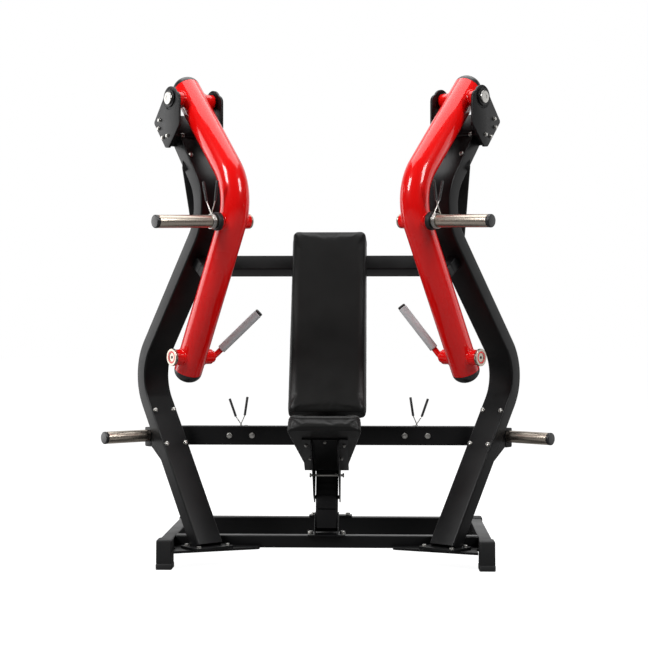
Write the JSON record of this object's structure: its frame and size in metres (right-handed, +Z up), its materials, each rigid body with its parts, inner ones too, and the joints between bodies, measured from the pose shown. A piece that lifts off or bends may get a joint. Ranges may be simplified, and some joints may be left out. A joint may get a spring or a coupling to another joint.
{
  "type": "plate-loaded chest press machine",
  "caption": "Plate-loaded chest press with two swinging bent arms on an S-bent frame, swivelling grips, weight horns, reclined backrest and a seat that slides on a toothed rack.",
  "frame": {"origin": "on the floor, at the middle of the machine's footprint box", "axes": "+Z up, +Y from the seat's front to the machine's back, +X to the seated user's left"},
  "size_m": [1.8488, 1.1014, 1.9742],
  "materials": {
    "red_gloss_paint": "gloss powder coat",
    "black_powder_coat": "fine textured satin powder coat",
    "satin_chrome": "brushed nickel finish",
    "zinc_steel": "bright zinc plate",
    "bearing_bronze": "plain bearing",
    "black_rubber": "matt",
    "black_plastic": "satin moulded",
    "grey_grip": "fine ribbed grip",
    "black_vinyl": "satin grained vinyl"
  },
  "bodies": {
    "root": {"side_frame_left": "black_powder_coat", "side_frame_right": "black_powder_coat", "pivot_plate_outer_left": "black_powder_coat", "pivot_plate_outer_right": "black_powder_coat", "pivot_plate_inner_left": "black_powder_coat", "pivot_plate_inner_right": "black_powder_coat", "pivot_pin_left": "zinc_steel", "pivot_pin_right": "zinc_steel", "stop_buffer_left": "black_rubber", "stop_buffer_right": "black_rubber", "side_storage_horn_left": "satin_chrome", "side_storage_horn_right": "satin_chrome", "rear_storage_horn_left": "satin_chrome", "rear_storage_horn_right": "satin_chrome", "rear_strut_left": "black_powder_coat", "rear_strut_right": "black_powder_coat", "side_tube_left": "black_powder_coat", "side_tube_right": "black_powder_coat", "front_foot_left": "black_rubber", "front_foot_right": "black_rubber", "rear_foot_left": "black_rubber", "rear_foot_right": "black_rubber", "base_gusset_left": "black_powder_coat", "base_gusset_right": "black_powder_coat", "middle_crossbar": "black_powder_coat", "upper_crossbar": "black_powder_coat", "spine": "black_powder_coat", "spine_foot": "black_powder_coat", "seat_rack": "black_powder_coat", "rear_brace": "black_powder_coat", "backrest_bracket": "black_powder_coat", "backrest_pad": "black_vinyl", "front_beam": "black_powder_coat", "rear_beam": "black_powder_coat"},
    "left_arm": {"arm_left": "red_gloss_paint", "arm_top_cap_left": "black_plastic", "arm_bottom_cap_left": "black_plastic", "weight_horn_left": "satin_chrome", "horn_ring_left": "black_rubber", "pivot_bush_left": "bearing_bronze"},
    "left_handle": {"handle_left": "red_gloss_paint", "swivel_disc_left": "satin_chrome", "grip_left": "grey_grip"},
    "left_weight_collar": {"weight_collar_left": "zinc_steel"},
    "left_rear_collar": {"rear_collar_left": "zinc_steel"},
    "right_arm": {"arm_right": "red_gloss_paint", "arm_top_cap_right": "black_plastic", "arm_bottom_cap_right": "black_plastic", "weight_horn_right": "satin_chrome", "horn_ring_right": "black_rubber", "pivot_bush_right": "bearing_bronze"},
    "right_handle": {"handle_right": "red_gloss_paint", "swivel_disc_right": "satin_chrome", "grip_right": "grey_grip"},
    "right_weight_collar": {"weight_collar_right": "zinc_steel"},
    "right_rear_collar": {"rear_collar_right": "zinc_steel"},
    "seat": {"seat_pad": "black_vinyl", "seat_carriage": "black_powder_coat"},
    "latch": {"seat_latch": "zinc_steel"}
  },
  "joints": [
    {"name": "left_arm_swing", "type": "hinge", "parent": "root", "child": "left_arm", "pos_m": [-0.5437, -0.085, 1.875], "axis": [-0.766, -0.6428, 0], "range_deg": [0, 22]},
    {"name": "left_handle_swivel", "type": "hinge", "parent": "left_arm", "child": "left_handle", "pos_m": [-0.5437, -0.085, 0.837], "axis": [-0.766, -0.6428, 0], "range_deg": [-14, 41]},
    {"name": "left_weight_collar_slide", "type": "slide", "parent": "left_arm", "child": "left_weight_collar", "axis": [-0.7654, -0.6423, -0.04], "range_m": [0, 0.22]},
    {"name": "left_rear_collar_slide", "type": "slide", "parent": "root", "child": "left_rear_collar", "axis": [0, 1, 0], "range_m": [0, 0.19]},
    {"name": "right_arm_swing", "type": "hinge", "parent": "root", "child": "right_arm", "pos_m": [0.5437, -0.085, 1.875], "axis": [-0.766, 0.6428, 0], "range_deg": [0, 22]},
    {"name": "right_handle_swivel", "type": "hinge", "parent": "right_arm", "child": "right_handle", "pos_m": [0.5437, -0.085, 0.837], "axis": [-0.766, 0.6428, 0], "range_deg": [-27, 28]},
    {"name": "right_weight_collar_slide", "type": "slide", "parent": "right_arm", "child": "right_weight_collar", "axis": [0.7654, -0.6423, -0.04], "range_m": [0, 0.22]},
    {"name": "right_rear_collar_slide", "type": "slide", "parent": "root", "child": "right_rear_collar", "axis": [0, 1, 0], "range_m": [0, 0.19]},
    {"name": "seat_height", "type": "slide", "parent": "root", "child": "seat", "axis": [0, 0.3901, 0.9208], "range_m": [-0.052, 0.078]},
    {"name": "latch_pull", "type": "slide", "parent": "seat", "child": "latch", "axis": [0, -0.9208, 0.3901], "range_m": [-0.01, 0]}
  ]
}
